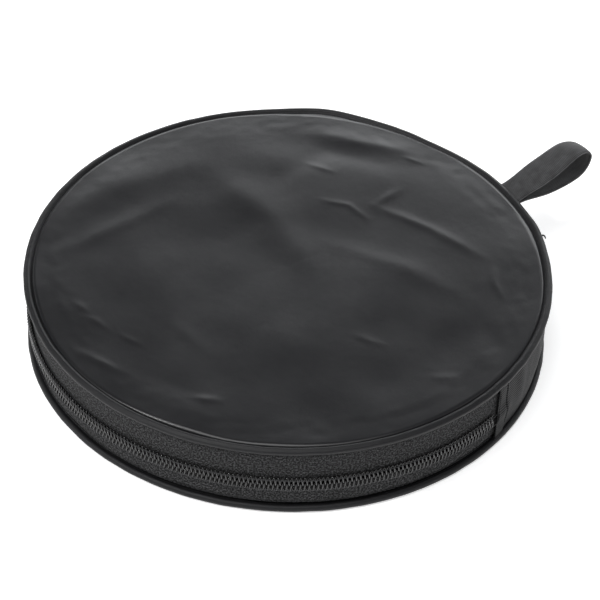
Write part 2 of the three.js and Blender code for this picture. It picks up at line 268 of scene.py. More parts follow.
def coated_nylon():
    """Black nylon with a thin glossy coating, as on the two round panels."""
    shader = Shader("coated_nylon", 0.4, Specular_IOR_Level=0.5, Sheen_Weight=0.03, Sheen_Roughness=0.4)
    cloth = shader.cloth()
    weave = plain_weave(shader, cloth, 0.32)
    mottle = shader.noise(cloth, 26, 4)
    crinkle = shader.noise(cloth, 5, 5, 0.6)
    shader.colours(shader.math("MULTIPLY", mottle, crinkle), (0.006, 0.006, 0.007), (0.014, 0.014, 0.015))
    shader.rough(mottle, 0.25, 0.35)
    shader.bumps((mottle, 0.1), (crinkle, 0.045), (weave, 0.012))
    return shader.material


def band_cloth():
    """Ribbed nylon: fine level ribs with the cross threads showing between them."""
    shader = Shader("band_cloth", 0.55, Specular_IOR_Level=0.16, Sheen_Weight=0.02, Sheen_Roughness=0.5)
    cloth = shader.cloth()
    rib = 1.35
    ribs = shader.ribs(cloth, 0, 1 / rib)
    cross = shader.ribs(cloth, 1 / 0.7, 0.5 / rib)
    wear = shader.noise(cloth, 6, 4)
    both = shader.math("ADD", shader.math("MULTIPLY", ribs, 0.8), shader.math("MULTIPLY", cross, 0.2))
    worn = shader.share(shader.math("MULTIPLY", both, wear), 0.12, 0.5)
    shader.colours(worn, (0, 0, 0), (0.023, 0.023, 0.025))
    shader.rough(wear, 0.5, 0.68)
    shader.bumps((wear, 0.25), (both, 0.32))
    return shader.material


def piping_cloth():
    """The panels' coated nylon cut on the bias and pulled tight round a cord."""
    shader = Shader("piping_cloth", 0.4, Specular_IOR_Level=0.3, Sheen_Weight=0.02, Sheen_Roughness=0.4)
    cloth = shader.cloth()
    weave = shader.ribs(cloth, 1 / 0.6, 1 / 0.6)
    folds = shader.noise(cloth, 3, 3)
    wear = shader.noise(cloth, 14, 3)
    shader.colours(wear, (0.004, 0.004, 0.005), (0.009, 0.009, 0.01))
    shader.rough(folds, 0.42, 0.58)
    shader.bumps((folds, 0.16), (weave, 0.03))
    return shader.material


def tape_cloth(name="tape_cloth", dark=(0, 0, 0), light=(0.085, 0.085, 0.088)):
    """A woven polyester tape: a coarse broken twill of matt threads, speckled where its fibres show."""
    shader = Shader(name, 0.85, Specular_IOR_Level=0.2, Sheen_Weight=0.03, Sheen_Roughness=0.6)
    cloth = shader.cloth()
    twill = shader.threads(cloth, 1 / 0.85, 1 / 0.95)
    cross = shader.threads(cloth, 1 / 0.62, -1 / 1.7)
    both = shader.share(shader.math("MULTIPLY", twill, cross), -1, 1)
    fuzz = shader.noise(cloth, 0.85, 1, 0.5)
    speckle = shader.math("ADD", shader.math("MULTIPLY", both, 0.25), shader.math("MULTIPLY", fuzz, 0.75))
    shader.colours(shader.share(speckle, 0.48, 0.6), dark, light)
    shader.rough(fuzz, 0.75, 0.95)
    shader.bumps((both, 0.3), (fuzz, 0.5))
    return shader.material


def coil_plastic():
    """Black polyester filament, smooth and a little shiny."""
    shader = Shader("coil_plastic", 0.2, Specular_IOR_Level=0.4, Coat_Weight=0.6, Coat_Roughness=0.12)
    scuffs = shader.noise(shader.place(), 0.8, 3)
    shader.colours(scuffs, (0.001, 0.001, 0.001), (0.004, 0.004, 0.004))
    shader.rough(scuffs, 0.16, 0.3)
    shader.bumps((scuffs, 0.02))
    return shader.material


def thread_material():
    """Twisted sewing thread."""
    shader = Shader("sewing_thread", 0.7, Specular_IOR_Level=0.35, Sheen_Weight=0.05)
    cloth = shader.cloth()
    plies = shader.ribs(cloth, 1 / 0.5, 1 / 0.7)
    shader.colours(plies, (0.014, 0.014, 0.015), (0.05, 0.05, 0.053))
    shader.rough(shader.noise(cloth, 1, 2), 0.6, 0.8)
    shader.bumps((plies, 0.04))
    return shader.material


def webbing_cloth():
    """Soft polyester webbing: warp cords along the strap and fine picks across it."""
    shader = Shader("webbing_cloth", 0.65, Specular_IOR_Level=0.3, Sheen_Weight=0.06, Sheen_Roughness=0.5)
    cloth = shader.cloth()
    cord = 0.8
    warp = shader.ribs(cloth, 0, 1 / cord)
    picks = shader.ribs(cloth, 1 / 0.55, 0.5 / cord)
    wear = shader.noise(cloth, 5, 4)
    both = shader.math("ADD", shader.math("MULTIPLY", warp, 0.55), shader.math("MULTIPLY", picks, 0.45))
    shader.colours(shader.math("MULTIPLY", both, wear), (0.006, 0.006, 0.006), (0.15, 0.15, 0.156))
    shader.rough(wear, 0.6, 0.8)
    shader.bumps((wear, 0.2), (both, 0.1))
    return shader.material


def painted_metal(name, colour, worn, roughness, metallic):
    """Die-cast metal with a dark finish and light handling wear."""
    shader = Shader(name, roughness, Metallic=metallic, Coat_Weight=0.15, Coat_Roughness=0.25)
    place = shader.place()
    wear = shader.noise(place, 2.2, 5, 0.65)
    grain = shader.noise(place, 0.4, 2)
    shader.colours(shader.share(wear, 0.5, 0.75), colour, worn)
    shader.rough(wear, roughness - 0.08, roughness + 0.12)
    shader.bumps((wear, 0.03), (grain, 0.01))
    return shader.material


def spring_steel():
    """Rolled spring strip: bright, with fine marks along its length."""
    shader = Shader("spring_strip", 0.3, Metallic=1.0)
    place = shader.place()
    marks = shader.noise(place, 1.5, 5, 0.7)
    shader.colours(marks, (0.32, 0.33, 0.35), (0.55, 0.56, 0.58))
    shader.rough(marks, 0.22, 0.42)
    shader.bumps((marks, 0.02))
    return shader.material


def cord_plastic():
    """The piping's filler cord: a twisted plastic string."""
    shader = Shader("filler_cord", 0.65)
    place = shader.place()
    twist = shader.noise(place, 1.1, 3)
    shader.colours(twist, (0.01, 0.01, 0.01), (0.03, 0.03, 0.03))
    shader.rough(twist, 0.55, 0.75)
    shader.bumps((twist, 0.1))
    return shader.material


def silver_cloth():
    """Laminated silver fabric: a bright foil face over a fine weave."""
    shader = Shader("silver_cloth", 0.3, Metallic=0.85, Specular_IOR_Level=0.6)
    cloth = shader.cloth()
    weave = plain_weave(shader, cloth, 0.45)
    crinkle = shader.noise(cloth, 6, 5, 0.6)
    shader.colours(crinkle, (0.5, 0.51, 0.53), (0.82, 0.83, 0.85))
    shader.rough(crinkle, 0.24, 0.42)
    shader.bumps((crinkle, 0.5), (weave, 0.03))
    return shader.material


def white_cloth():
    """Matt white nylon with a fine weave."""
    shader = Shader("white_cloth", 0.8, Sheen_Weight=0.2)
    cloth = shader.cloth()
    weave = plain_weave(shader, cloth, 0.45)
    crinkle = shader.noise(cloth, 7, 4)
    shader.colours(crinkle, (0.72, 0.72, 0.7), (0.88, 0.88, 0.87))
    shader.rough(crinkle, 0.7, 0.88)
    shader.bumps((crinkle, 0.4), (weave, 0.04))
    return shader.material


def floor_material():
    """Pale seamless studio paper."""
    shader = Shader("studio_paper", 0.9, Specular_IOR_Level=0.2, Emission_Color=(1, 1, 1, 1))
    shader.surface.inputs["Emission Strength"].default_value = 0.5
    fibres = shader.noise(shader.place(), 60, 3)
    shader.colours(fibres, (0.9, 0.9, 0.9), (0.92, 0.92, 0.92))
    return shader.material


# ---------------------------------------------------------------- meshes


def grid_faces(rows, columns, wrap_rows=False, wrap_columns=False):
    last_row = rows if wrap_rows else rows - 1
    last_column = columns if wrap_columns else columns - 1
    faces = []
    for i in range(last_row):
        for j in range(last_column):
            a, b = i * columns, (i + 1) % rows * columns
            k = (j + 1) % columns
            faces.append((a + j, a + k, b + k, b + j))
    return faces


def mesh_object(name, points, faces, material, cloth=None):
    mesh = bpy.data.meshes.new(name)
    mesh.from_pydata([Vector(p) * MM for p in points], [], faces)
    mesh.polygons.foreach_set("use_smooth", [True] * len(faces))
    if cloth:
        values = [c * MM for point in cloth for c in (*point, 0)]
        mesh.attributes.new("cloth", "FLOAT_VECTOR", "POINT").data.foreach_set("vector", values)
    mesh.materials.append(material)
    mesh.update()
    obj = bpy.data.objects.new(name, mesh)
    bpy.context.scene.collection.objects.link(obj)
    return obj


def lengths(points):
    """How far along the line each point lies."""
    total = [0.0]
    for a, b in zip(points, points[1:]):
        total.append(total[-1] + (Vector(b) - Vector(a)).length)
    return total


def skin(rows, wrap_rows=False, wrap_points=True, caps=True):
    """Points, faces and flat cloth places of a surface through rows of points."""
    count = len(rows[0])
    points = [p for row in rows for p in row]
    along = lengths([row[0] for row in rows])
    across = lengths(rows[0])
    cloth = [(u, v) for u in along for v in across]
    faces = grid_faces(len(rows), count, wrap_rows, wrap_points)
    if caps and wrap_points and not wrap_rows:
        faces.append(tuple(reversed(range(count))))
        faces.append(tuple(range(len(points) - count, len(points))))
    return points, faces, cloth


def joined(parts):
    """Several surfaces as one."""
    points, faces, cloth = [], [], []
    for more_points, more_faces, more_cloth in parts:
        start = len(points)
        points += more_points
        cloth += more_cloth
        faces += [tuple(start + i for i in face) for face in more_faces]
    return points, faces, cloth


def fitted(name, surface, material):
    points, faces, cloth = surface
    return mesh_object(name, points, faces, material, cloth)


def tube(path, radius, sides, reference):
    """A tube along a path. radius and reference may be a value or a list with one for each point."""
    rows = []
    count = len(path)
    for i, point in enumerate(path):
        before, after = path[max(i - 1, 0)], path[min(i + 1, count - 1)]
        tangent = (Vector(after) - Vector(before)).normalized()
        ahead = reference[i] if isinstance(reference, list) else reference
        side = tangent.cross(ahead).normalized()
        up = side.cross(tangent)
        thick = radius[i] if isinstance(radius, list) else radius
        rows.append([
            Vector(point) + (side * math.cos(a) + up * math.sin(a)) * thick
            for a in (2 * math.pi * k / sides for k in range(sides))
        ])
    return skin(rows)


def hump(value, middle, width):
    """A smooth rise to 1 at the middle, and down again."""
    return math.exp(-(((value - middle) / width) ** 2))


def smooth_step(value, start, end):
    t = min(1, max(0, (value - start) / (end - start)))
    return t * t * (3 - 2 * t)


def turned(angle):
    """An angle from 0 to 360."""
    return angle % 360


def rim_shift(angle):
    """The case's back is a little out of round: a soft corner, then a flatter stretch up to the strap."""
    a = turned(angle)
    return 2.2 * hump(a, 143, 8) - 1.5 * hump(a, 115, 10) + 0.9 * hump(a, 77, 7)


def on_case(angle, radius, height):
    """A point on the case as it really stands. The middle of the panels keeps its place."""
    shifted = radius + rim_shift(angle) * smooth_step(radius, 60, 110)
    a = math.radians(angle)
    return Vector((shifted * math.cos(a), shifted * math.sin(a), height))


def outwards(angle):
    a = math.radians(angle)
    return Vector((math.cos(a), math.sin(a), 0))


def rough_line(angle, seed):
    """Small unevenness along a seam, the same each run."""
    place = outwards(angle) * (118 / 9)
    return noise.noise(place + Vector((seed, seed * 0.7, 0)))


def ring(outline, start=None, end=None, step=1.0, change=None):
    """Sweeps an outline of (radius, height) points round the case.

    change(angle, radius, height) may move each one.
    """
    full = start is None
    first, last = (STRAP_ANGLE, STRAP_ANGLE + 360) if full else (start, end)
    steps = max(2, round(abs(last - first) / step))
    count = steps if full else steps + 1
    rows = []
    for i in range(count):
        angle = first + (last - first) * i / steps
        rows.append([on_case(angle, *(change(angle, r, z) if change else (r, z))) for r, z in outline])
    return skin(rows, wrap_rows=full)


def mirrored(outline):
    return [(r, CASE_HEIGHT - z) for r, z in reversed(outline)]


# ---------------------------------------------------------------- pieces of the lid: the CAD nodes they stand for are hidden and their own transforms are baked


def bends_with_flap(obj, *nodes):
    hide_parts(*nodes)
    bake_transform(obj)


# ---------------------------------------------------------------- the two round panels

# Folds and creases in the top panel, in rounded numbers: where the middle of each one lies (its angle and its
# distance from the panel's middle), the direction it runs in, its length, how far it bows aside, its height
# and its width.
FOLDS = [
    (210, 92, 100, 75, 8, 0.8, 13),
    (170, 35, 5, 65, 4, 0.8, 12),
    (225, 85, 100, 65, 0, 0.45, 7),
    (130, 100, 45, 45, 0, 0.5, 6),
    (135, 75, 75, 50, 15, -0.4, 9),
    (85, 70, 25, 60, 2, 0.35, 3.2),
    (110, 70, 105, 15, 0, 0.3, 2.2),
    (300, 95, 30, 45, 0, -0.4, 10),
    (310, 95, 55, 10, 0, 0.35, 2.6),
    (335, 50, 25, 35, 0, 0.4, 13),
    (335, 110, 70, 60, -4, 0.2, 6),
    (35, 100, 345, 20, 0, -0.25, 6),
    (280, 105, 30, 25, 0, 0.3, 2.6),
    (60, 50, 30, 75, 4, 0.3, 7),
    (290, 65, 10, 25, 0, 0.2, 5),
    (260, 97, 25, 8, 0, 0.22, 1.3),
    (267, 95, 30, 15, 2, 0.2, 1.2),
    (278, 86, 30, 10, 0, 0.18, 1.2),
    (140, 75, 35, 15, 0, 0.2, 1.4),
    (120, 50, 30, 25, 4, 0.22, 1.5),
    (115, 100, 35, 10, 0, 0.2, 1.3),
    (57, 95, 340, 20, -2, 0.25, 1.6),
    (15, 98, 55, 10, 0, 0.2, 1.4),
    (8, 60, 35, 15, 0, 0.16, 1.5),
]


def fold_line(angle, distance, heading, length, bow):
    middle = outwards(angle) * distance
    along = outwards(heading) * (length / 2)
    aside = outwards(heading + 90) * bow
    return [(p.x, p.y) for p in (middle - along, middle + aside, middle + along)]


FOLD_LINES = [(fold_line(*place), height, width) for *place, height, width in FOLDS]


def distance_to_line(x, y, line):
    """The distance to a bent line and how far along it the nearest point is, from 0 to 1."""
    best = (1e9, 0)
    steps = len(line) - 1
    for i in range(steps):
        (x0, y0), (x1, y1) = line[i], line[i + 1]
        dx, dy = x1 - x0, y1 - y0
        t = min(1, max(0, ((x - x0) * dx + (y - y0) * dy) / (dx * dx + dy * dy)))
        away = math.hypot(x - x0 - t * dx, y - y0 - t * dy)
        best = min(best, (away, (i + t) / steps))
    return best


def fold_height(x, y):
    total = 0
    for line, height, width in FOLD_LINES:
        away, along = distance_to_line(x, y, line)
        if away < 4 * width:
            fade = 0.35 + 0.65 * math.sin(math.pi * along)  # highest in the middle of its length
            total += height * fade / (1 + (away / width) ** 2) ** 1.5
    return total


def panel_height(x, y):
    """How far the top panel stands over its level: slack in the middle, lifted by the hoop near the rim."""
    radius = math.hypot(x, y)
    edge = smooth_step(radius, 115, 115.9)
    edge_drop = 0.7
    slack = -0.9 * hump(radius, 0, 70) + 0.12 * hump(radius, 102, 8)
    place = Vector((x, y, 0))
    soft = 0.8 * noise.noise(place / 60) + 0.22 * noise.noise(place / 24 + Vector((7, 3, 0)))
    puckers = 0.1 * hump(radius, 106, 7) * noise.noise(Vector((x, y, 5)) / 5)
    return (slack + soft + fold_height(x, y) + puckers) * (1 - edge) - edge_drop * edge


def disc(height_at, radius, rings, spokes):
    """A closed round sheet of cloth, whose upper side is at height_at(x, y)."""
    rows = []
    for side in (0, 1):
        span = range(rings + 1) if side == 0 else reversed(range(rings + 1))
        for i in span:
            share = (i / rings) ** 0.8
            row = []
            for k in range(spokes):
                angle = 360 * k / spokes
                at = on_case(angle, max(0.2, share * radius), 0)
                row.append((at.x, at.y, height_at(at.x, at.y) - side * CLOTH_THICKNESS))
            rows.append(row)
    points = [p for row in rows for p in row]
    faces = grid_faces(len(rows), spokes, wrap_columns=True)
    faces.append(tuple(reversed(range(spokes))))
    faces.append(tuple(range(len(points) - spokes, len(points))))
    return points, [tuple(reversed(f)) for f in faces], [(x, y) for x, y, _ in points]


def top_panel(material):
    surface = disc(lambda x, y: PANEL_TOP + panel_height(x, y), PANEL_RADIUS, 90, 288)
    obj = fitted("top_panel", surface, material)
    bends_with_flap(obj, "top_panel_back", "top_panel_front")


def bottom_panel(material):
    def height_at(x, y):
        lifted = 0.35 * smooth_step(math.hypot(x, y), 100, 114) + 0.12 * noise.noise(Vector((x, y, 9)) / 24)
        clear_of_floor = 0.02
        return CLOTH_THICKNESS + clear_of_floor + max(0, lifted)

    obj = fitted("base_panel", disc(height_at, PANEL_RADIUS, 40, 180), material)
    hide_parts("bottom_panel")
    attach(obj, "case")


# ---------------------------------------------------------------- piping and seam bindings


def piping_outline():
    """A strip wrapped round its cord, a little hollow outside, with its edges running into the seam."""
    centre = (PIPING_RING, CASE_HEIGHT - PIPING_RADIUS)
    points = []
    sides = 22
    first, last = -155, 160
    for i in range(sides + 1):
        a = first + (last - first) * i / sides
        at = outwards(a) * (PIPING_RADIUS - 0.3 * hump(a, 62, 24))
        points.append((centre[0] + at.x, centre[1] + at.y))
    inner = PANEL_RADIUS - 2.6
    upper, lower = CASE_HEIGHT - 2.35, CASE_HEIGHT - 3.05
    return points + [(inner, upper), (inner, lower)]


def piping(name, outline, material, seed, tucked=0):
    """The strip round the rim, slightly uneven. tucked is how far it stands in from the rim."""

    def change(angle, radius, height):
        if radius < PIPING_RING - PIPING_RADIUS:
            return radius, height
        radius -= tucked
        puff = 0.16 * rough_line(angle, seed) + 0.05 * rough_line(angle * 3, seed + 4)
        drop = 0.14 * rough_line(angle + 40, seed + 9)
        return radius + puff, height + drop

    return fitted(name, ring(outline, step=0.75, change=change), material)


def seam_binding_outline():
    """A tape folded over the seam's raw edges."""
    inner, outer = BINDING_OUTER - 3, BINDING_OUTER
    middle = (BINDING_LOW + BINDING_HIGH) / 2
    half = (BINDING_HIGH - BINDING_LOW) / 2
    thick = 0.4
    bend = 1.1
    points = [(outer, middle - half)]
    for i in range(9):
        a = math.radians(-90 - 180 * i / 8)
        points.append((inner + bend + bend * math.cos(a), middle + half * math.sin(a)))
    points.append((outer, middle + half))
    points.append((outer, middle + half - thick))
    for i in range(9):
        a = math.radians(90 + 180 * i / 8)
        points.append((inner + bend + (bend - thick) * math.cos(a), middle + (half - thick) * math.sin(a)))
    points.append((outer, middle - half + thick))
    return points


def seams(cloth, tape, cord):
    top = piping("top_piping", piping_outline(), cloth, 1)
    bends_with_flap(top, "top_piping_cover_back", "top_piping_cover_front")

    bottom = piping("bottom_piping", mirrored(piping_outline()), cloth, 5, tucked=0.7)
    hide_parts("bottom_piping_cover")
    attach(bottom, "case")

    centre = (PIPING_RING, CASE_HEIGHT - PIPING_RADIUS)
    sides = 10
    outline = [
        (centre[0] + CORD_RADIUS * math.cos(a), centre[1] + CORD_RADIUS * math.sin(a))
        for a in (2 * math.pi * k / sides for k in range(sides))
    ]
    top_cord = fitted("top_piping_cord", ring(outline, step=1.5), cord)
    bends_with_flap(top_cord, "top_piping_cord_back", "top_piping_cord_front")

    top_binding = fitted("top_seam_binding", ring(seam_binding_outline(), step=1.5), tape)
    bends_with_flap(top_binding, "top_seam_binding_back", "top_seam_binding_front")

    bottom_binding = fitted("base_seam_binding", ring(mirrored(seam_binding_outline()), step=1.5), tape)
    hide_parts("bottom_seam_binding")
    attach(bottom_binding, "case")


# ---------------------------------------------------------------- the wall


SEAM_ALLOWANCE = 3.8


def wall_outline(bottom, top, turn_bottom, turn_top, steps=16):
    """A wall between two heights. Where an edge is sewn in, it turns inwards as a seam allowance."""
    allowance = WALL_OUTER - SEAM_ALLOWANCE
    inside = WALL_OUTER - CLOTH_THICKNESS
    outer = [(WALL_OUTER, bottom + (top - bottom) * i / steps) for i in range(steps + 1)]
    inner = [(inside, z) for _, z in reversed(outer[1:-1])]
    points = list(outer)
    if turn_top:
        under = top - CLOTH_THICKNESS
        points += [(allowance, top), (allowance, under), (inside, under)]
    else:
        points.append((inside, top))
    points += inner
    if turn_bottom:
        over = bottom + CLOTH_THICKNESS
        points += [(inside, over), (allowance, over), (allowance, bottom)]
    else:
        points.append((inside, bottom))
    return points


def zipper_tapes(tape):
    """The two tapes: slack by the coil, and drawn in under the piping where they are sewn."""
    gap = 0.45
    drawn_in = 1.3

    def slack(seed):
        def change(angle, radius, height):
            if radius < WALL_OUTER - 1:
                return radius, height
            near_coil = hump(height, ZIP_MIDDLE, 5)
            wave = 0.3 * rough_line(angle, seed + height / 14) * (1 - near_coil)
            away = min(height - WALL_LOW, WALL_HIGH - height)
            return radius + wave - drawn_in * (1 - smooth_step(away, 0.4, 2.6)), height
        return change

    right, left = STRAP_ANGLE - BAND_TURN - 0.3, STRAP_ANGLE + BAND_TURN + 0.3
    lower = wall_outline(WALL_LOW, ZIP_MIDDLE - gap, True, False)
    upper = wall_outline(ZIP_MIDDLE + gap, WALL_HIGH, False, True)
    bottom = fitted("lower_tape", ring(lower, left, right + 360, change=slack(2)), tape)
    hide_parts("lower_zip_tape")
    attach(bottom, "case")
    top = fitted("upper_tape", ring(upper, left, right + 360, change=slack(3)), tape)
    bends_with_flap(top, "upper_zip_tape", "upper_zip_tape_right_end", "upper_zip_tape_left_end")


def band_change(angle, radius, height):
    """The band's bulges, the step up over the zipper's ends, the stitched groove and the wavy folds."""
    if radius < WALL_OUTER - 1:
        return radius, height
    away = abs((turned(angle) - STRAP_ANGLE + 180) % 360 - 180)
    rise = math.sin(math.pi * (height - WALL_LOW) / (WALL_HIGH - WALL_LOW))
    over_zip = smooth_step(away, BAND_TURN - 1.1, BAND_TURN - 0.2)
    bulge = 1.6 * max(0, rise) + 0.8 * rough_line(angle, 11 + height / 26) * max(0, rise)
    shoulder = 1.5 * hump(turned(angle), 74, 13) * hump(height, 31, 5)
    over_coil = 1.3 * hump(height, ZIP_MIDDLE, 4.2) * smooth_step(away, BAND_TURN - 3, BAND_TURN + 1.5)
    wave = 0.55 * math.sin(height / 4.2 + 0.6) * smooth_step(away, BAND_TURN - 2, ZIP_END)
    groove = -1.1 * hump(away + 0.45 * math.sin(height / 5), BAND_TURN - 0.1, 0.24)
    lifted = 0.8 * over_zip + over_coil + wave * over_zip + groove
    return radius + bulge * (1 - 0.6 * over_zip) + shoulder + lifted, height


def back_band(cloth, thread):
    """The band, with closer rows near its folded ends, and the two lines of stitches that close it."""
    outline = wall_outline(WALL_LOW, WALL_HIGH, True, True, steps=30)
    plain = BAND_TURN - 1.6
    coarse_rows, fine_rows = 300, 48
    coarse = [-plain + 2 * plain * i / coarse_rows for i in range(coarse_rows + 1)]
    fine = [plain + (ZIP_END - plain) * i / fine_rows for i in range(1, fine_rows + 1)]
    rows = []
    for turn in [-a for a in reversed(fine)] + coarse + fine:
        angle = STRAP_ANGLE + turn
        away = abs(turn)
        row = []
        for r, z in outline:
            edge_sway = 0.45 * math.sin(z / 5.4 + 0.4) * smooth_step(away, BAND_TURN - 2, ZIP_END)
            side = 1 if angle > STRAP_ANGLE else -1
            inner_shift = 0
            if r < WALL_OUTER - 1 and away > BAND_TURN - 0.6:
                inner_shift = WALL_OUTER + 0.3 - r
            new_r, new_z = band_change(angle, r + inner_shift, z)
            row.append(on_case(angle + side * edge_sway, new_r, new_z))
        rows.append(row)
    obj = fitted("band", skin(rows), cloth)
    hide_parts("back_band")
    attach(obj, "case")

    stitches = []
    stitch_pitch, stitch_length = 3.0, 2.2
    for side in (-1, 1):
        for k in range(10):
            first = WALL_LOW + 1.6 + stitch_pitch * k
            heights = [first + stitch_length * t / 6 for t in range(7)]
            path = []
            for t, z in enumerate(heights):
                away = BAND_TURN - 0.1 - 0.45 * math.sin(z / 5)
                angle = STRAP_ANGLE + side * away
                radius = band_change(angle, WALL_OUTER, z)[0] + 0.25 * math.sin(math.pi * t / 6) - 0.02
                path.append(on_case(angle, radius, z))
            stitches.append(tube(path, 0.17, 6, outwards(STRAP_ANGLE + side * BAND_TURN)))
    topstitch = fitted("band_topstitching", joined(stitches), thread)
    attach(topstitch, "case")


# ---------------------------------------------------------------- the zipper's coils

PITCH = 1.9  # from one tooth to the next
WIRE = 0.4  # the filament's radius
OFF_TAPE = 0.15  # the coil's height over the tape


def coil(side, shift):
    """One side's coil: a flattened spring of filament, swollen where its heads meet the other side's."""
    steps = 12
    start = STRAP_ANGLE + ZIP_END + 0.15
    end = STRAP_ANGLE - ZIP_END - 0.15 + 360
    turns = int(math.radians(end - start) * WALL_OUTER / PITCH) - 1
    reach = COIL_REACH - WIRE
    head = -0.35
    middle = (reach + head) / 2
    half = (reach - head) / 2
    depth = (COIL_OUTER - WALL_OUTER - 2 * WIRE - OFF_TAPE) / 2
    path, thick, reference = [], [], []
    for k in range(turns * steps + 1):
        phase = 2 * math.pi * k / steps
        along = (k / steps + shift + 0.12 * math.sin(phase)) * PITCH
        angle = start + math.degrees(along / WALL_OUTER)
        height = ZIP_MIDDLE + side * (middle + half * math.cos(phase))
        radius = WALL_OUTER + OFF_TAPE + WIRE + depth + depth * math.sin(phase)
        path.append(on_case(angle, radius, height))
        thick.append(WIRE + 0.08 * max(0, -math.cos(phase)))
        a = math.radians(angle)
        reference.append(Vector((-math.sin(a), math.cos(a), 0)))
    return tube(path, thick, 6, reference)


def coil_thread(side):
    """The line of sewing thread that holds the coil down, dipping between the teeth."""
    start = STRAP_ANGLE + ZIP_END + 0.3
    end = STRAP_ANGLE - ZIP_END - 0.3 + 360
    per_tooth = 4
    count = int(math.radians(end - start) * WALL_OUTER / PITCH * per_tooth)
    height = ZIP_MIDDLE + side * (COIL_REACH - 1.25)
    path = []
    for k in range(count):
        angle = start + math.degrees(k * PITCH / per_tooth / WALL_OUTER)
        lift = 0.5 + 0.5 * math.cos(2 * math.pi * k / per_tooth)
        radius = COIL_OUTER - 0.35 + 0.32 * lift
        path.append(on_case(angle, radius, height))
    return tube(path, 0.2, 5, Vector((0, 0, 1)))


def tape_stitches(height, length=1.5, gap=0.6):
    """A row of short stitches round the tape."""
    start = STRAP_ANGLE + ZIP_END + 0.5
    end = STRAP_ANGLE - ZIP_END - 0.5 + 360
    pitch = math.degrees((length + gap) / WALL_OUTER)
    parts = []
    for k in range(int((end - start) / pitch)):
        path = []
        for t in range(5):
            angle = start + (k + t / 4 * length / (length + gap)) * pitch
            radius = WALL_OUTER + 0.12 + 0.2 * math.sin(math.pi * t / 4)
            path.append(on_case(angle, radius, height + 0.12 * rough_line(angle * 7, 3)))
        parts.append(tube(path, 0.16, 5, Vector((0, 0, 1))))
    return joined(parts)


def zipper(coil_material, thread):
    lower = fitted("lower_coil", coil(-1, 0.5), coil_material)
    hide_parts("lower_zip_coil")
    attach(lower, "case")
    upper = fitted("upper_coil", coil(1, 0), coil_material)
    bends_with_flap(upper, "upper_zip_coil", "upper_zip_coil_right_end", "upper_zip_coil_left_end")

    seam_distance = 2
    sewn = joined([coil_thread(-1), tape_stitches(WALL_LOW + seam_distance)])
    lower_thread = fitted("lower_coil_thread", sewn, thread)
    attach(lower_thread, "case")
    sewn = joined([coil_thread(1), tape_stitches(WALL_HIGH - seam_distance)])
    upper_thread = fitted("upper_coil_thread", sewn, thread)
    bends_with_flap(upper_thread)


# ---------------------------------------------------------------- the webbing loop

# The loop's two edges, seen from the side: out from the case to the round tip and back, each point a
# distance out and a height.
NEAR_EDGE = [(0, 0.6), (20, 4), (36, 8.5), (41, 4), (34, -4), (18, -4.5), (0, -0.6)]
FAR_EDGE = [(0, 0.6), (20, 3), (34, 4), (42, -1.5), (36, -6), (20, -4.5), (0, -0.6)]
STRAP_SHIFT = -4.5  # the loop is sewn in a little to one side
STRAP_RISE = 16  # how steeply it stands out from the wall
STRAP_HINGE = Vector((0, 122.2, 32.9))  # where it leaves the seam


def smooth_line(points, count):
    """A Catmull-Rom line through the points."""
    line = []
    spans = len(points) - 1
    for i in range(count + 1):
        place = spans * i / count
        k = min(int(place), spans - 1)
        t = place - k
        p = [Vector(points[min(max(k + d, 0), spans)]) for d in (-1, 0, 1, 2)]
        line.append(0.5 * (
            2 * p[1] + (p[2] - p[0]) * t
            + (2 * p[0] - 5 * p[1] + 4 * p[2] - p[3]) * t * t
            + (3 * p[1] - p[0] - 3 * p[2] + p[3]) * t * t * t
        ))
    return line


def webbing_loop(material):
    """A flat strap folded back on itself, gathered at its root and slightly cupped across its width."""
    rise = math.radians(STRAP_RISE)
    lead = [(-7, 0.6), (-4, 0.6)]
    edges = []
    for edge in (NEAR_EDGE, FAR_EDGE):
        full = lead + edge + [(y, -z) for y, z in reversed(lead)]
        edges.append(smooth_line(full, 90))
    across = 10
    thickness = 1.1
    rows = []
    count = len(edges[0])
    for i in range(count):
        flat = []
        for j in range(across + 1):
            t = j / across
            mixed = edges[1][i].lerp(edges[0][i], t)
            cup = 0.5 * math.sin(math.pi * t) * math.sin(math.pi * i / (count - 1))
            gathered = 1 - 0.15 * hump(mixed.x, 3, 9)
            x = STRAP_SHIFT + (2 * t - 1) * STRAP_HALF * gathered
            flat.append((x, mixed.x, mixed.y, cup))
        rows.append(flat)

    def placed(x, y, z):
        bent = smooth_step(y, -1, 2)
        angle = rise * bent
        out = y * math.cos(angle) - z * math.sin(angle)
        up = y * math.sin(angle) + z * math.cos(angle)
        return STRAP_HINGE + Vector((x, out, up))

    centre_rows = [[placed(x, y, z) for x, y, z, _ in row] for row in rows]
    closed = []
    for i, row in enumerate(centre_rows):
        before = centre_rows[max(i - 1, 0)]
        after = centre_rows[min(i + 1, count - 1)]
        outer, inner = [], []
        for j, point in enumerate(row):
            tangent = after[j] - before[j]
            left = row[max(j - 1, 0)]
            right = row[min(j + 1, across)]
            normal = (right - left).cross(tangent).normalized()
            thin = thickness / 2 * (0.55 if j in (0, across) else 1)
            outer.append(point + normal * (thin + rows[i][j][3]))
            inner.append(point - normal * (thin - rows[i][j][3]))
        closed.append(outer + inner[::-1])
    points, faces, _ = skin(closed)
    along = lengths([row[0] for row in centre_rows])
    cloth = []
    for i in range(count):
        places = [2 * STRAP_HALF * j / across for j in range(across + 1)]
        cloth += [(along[i], v) for v in places + places[::-1]]
    obj = mesh_object("webbing_loop", points, faces, material, cloth)
    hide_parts("strap_root", "strap_loop")
    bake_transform(obj)


